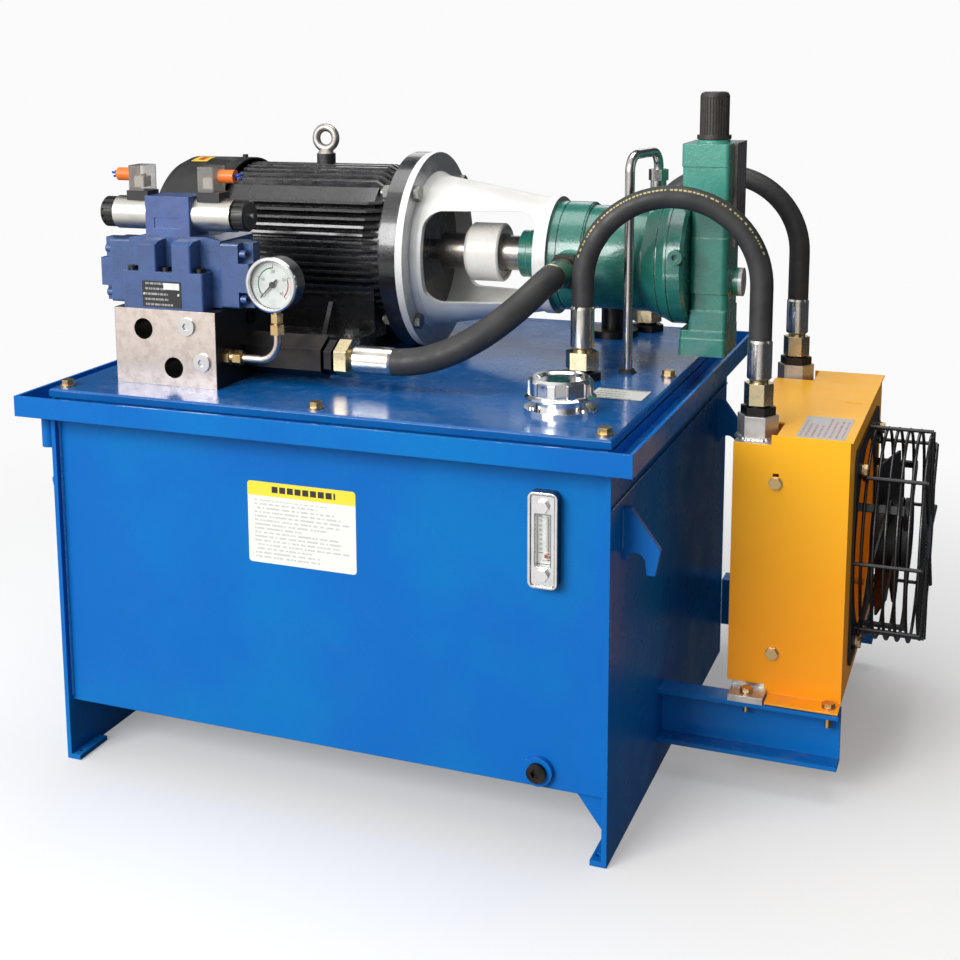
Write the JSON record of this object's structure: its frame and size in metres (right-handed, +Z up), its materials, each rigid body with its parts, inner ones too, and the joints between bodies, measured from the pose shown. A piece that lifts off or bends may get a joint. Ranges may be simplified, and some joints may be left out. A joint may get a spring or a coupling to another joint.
{
  "type": "hydraulic power unit with oil reservoir",
  "caption": "Welded oil reservoir carrying a foot-mounted electric motor, bell housing and piston pump, a valve stack on a manifold, a filler, a level gauge and an air-blast oil cooler.",
  "frame": {"origin": "centre of the reservoir's footprint, on the floor", "axes": "+X to the right along the front, +Y towards the back, +Z up"},
  "size_m": [1.0344, 0.703, 0.824],
  "materials": {
    "tank_blue": "semi-gloss paint over welded plate",
    "cover_blue": "glossy paint",
    "motor_black": "gloss black paint over rough casting",
    "bell_white": "pale paint over cast aluminium",
    "pump_green": "green paint over sand casting",
    "valve_blue": "dark blue paint over sand casting",
    "pilot_blue": "blue paint",
    "steel": "machined steel",
    "zinc": "yellow zinc plating",
    "bright_zinc": "bright zinc plating",
    "black_steel": "black oxide",
    "chrome": "polished chromium plating",
    "brass": "machined brass",
    "black_rubber": "moulded rubber",
    "hose_rubber": "smooth hose cover",
    "clear": "clear",
    "nylon": "natural nylon",
    "black_plastic": "ribbed moulding",
    "connector_plastic": "translucent moulding",
    "foam": "open-cell foam",
    "laminations": "varnished laminations",
    "cooler_alloy": "brazed aluminium",
    "cooler_orange": "orange powder coat",
    "guard_black": "black powder coat",
    "dial_white": "printed dial in a steel case"
  },
  "bodies": {
    "base": {"tank_shell": "tank_blue", "drip_gutter": "tank_blue", "cooler_beams": "tank_blue", "cover_plate": "cover_blue", "motor_frame": "motor_black", "motor_end_shields": "motor_black", "fan_cowl": "motor_black", "bell_housing": "bell_white", "pump_housing": "pump_green", "pump_control_head": "pump_green", "main_valve_body": "valve_blue", "main_valve_caps": "valve_blue", "pilot_valve_body": "pilot_blue", "bearings": "steel", "swash_plate": "steel", "manifold_block": "steel", "eyebolt": "steel", "filler_basket": "steel", "suction_strainer": "steel", "case_drain_tube": "steel", "hex_bolts": "zinc", "hose_nuts": "zinc", "port_plugs": "bright_zinc", "hose_ferrules": "bright_zinc", "drive_bolts": "bright_zinc", "solenoids": "bright_zinc", "suction_pipe": "black_steel", "check_valve": "black_steel", "hose_adaptors": "black_steel", "drain_plug": "black_steel", "level_gauge_body": "chrome", "filler_neck": "chrome", "gauge_tube": "brass", "rubber_seals": "black_rubber", "hoses": "hose_rubber", "level_gauge_lens": "clear", "gauge_lens": "clear", "solenoid_nuts": "black_plastic", "solenoid_connectors": "connector_plastic", "stator_core": "laminations", "cooler_core": "cooler_alloy", "cooler_shroud": "cooler_orange", "fan_guard": "guard_black", "fan_motor": "guard_black", "gauge_case": "dial_white"},
    "drive_train": {"rotor_shaft": "steel", "motor_fan": "black_plastic", "coupling_hubs": "steel", "coupling_sleeve": "nylon", "pump_shaft": "steel", "cylinder_block": "steel"},
    "fan_rotor": {"cooler_fan": "guard_black"},
    "needle": {"gauge_needle": "black_plastic"},
    "adjuster": {"pump_adjust_cap": "black_plastic"},
    "cap_lift": {"breather_element": "foam"},
    "cap_turn": {"filler_cap": "chrome"},
    "main_slide": {"main_spool": "steel"},
    "pilot_slide": {"pilot_spool": "steel"},
    "left_button": {"override_pin_left": "steel"},
    "right_button": {"override_pin_right": "steel"}
  },
  "joints": [
    {"name": "drive_spin", "type": "hinge", "parent": "base", "child": "drive_train", "pos_m": [0, 0.088, 0.612], "axis": [1, 0, 0], "continuous": true},
    {"name": "fan_spin", "type": "hinge", "parent": "base", "child": "fan_rotor", "pos_m": [0.58, 0.13, 0.27], "axis": [1, 0, 0], "continuous": true},
    {"name": "needle_turn", "type": "hinge", "parent": "base", "child": "needle", "pos_m": [-0.08, -0.245, 0.61], "axis": [0, 1, 0], "range_deg": [0, 270]},
    {"name": "adjuster_turn", "type": "hinge", "parent": "base", "child": "adjuster", "pos_m": [0.369, 0.088, 0.79], "axis": [0, 0, 1], "range_deg": [-540, 540]},
    {"name": "cap_lift", "type": "slide", "parent": "base", "child": "cap_lift", "axis": [0, 0, 1], "range_m": [0, 0.15]},
    {"name": "cap_turn", "type": "hinge", "parent": "cap_lift", "child": "cap_turn", "pos_m": [0.262, -0.21, 0.505], "axis": [0, 0, 1], "range_deg": [0, 90]},
    {"name": "main_spool_slide", "type": "slide", "parent": "base", "child": "main_slide", "axis": [1, 0, 0], "range_m": [-0.01, 0.01]},
    {"name": "pilot_spool_slide", "type": "slide", "parent": "base", "child": "pilot_slide", "axis": [1, 0, 0], "range_m": [-0.003, 0.003]},
    {"name": "left_override_press", "type": "slide", "parent": "base", "child": "left_button", "axis": [1, 0, 0], "range_m": [0, 0.003]},
    {"name": "right_override_press", "type": "slide", "parent": "base", "child": "right_button", "axis": [-1, 0, 0], "range_m": [0, 0.003]}
  ],
  "couplings": [
    {"joint": "pilot_spool_slide", "follows": "main_spool_slide", "ratio": 0.3}
  ]
}
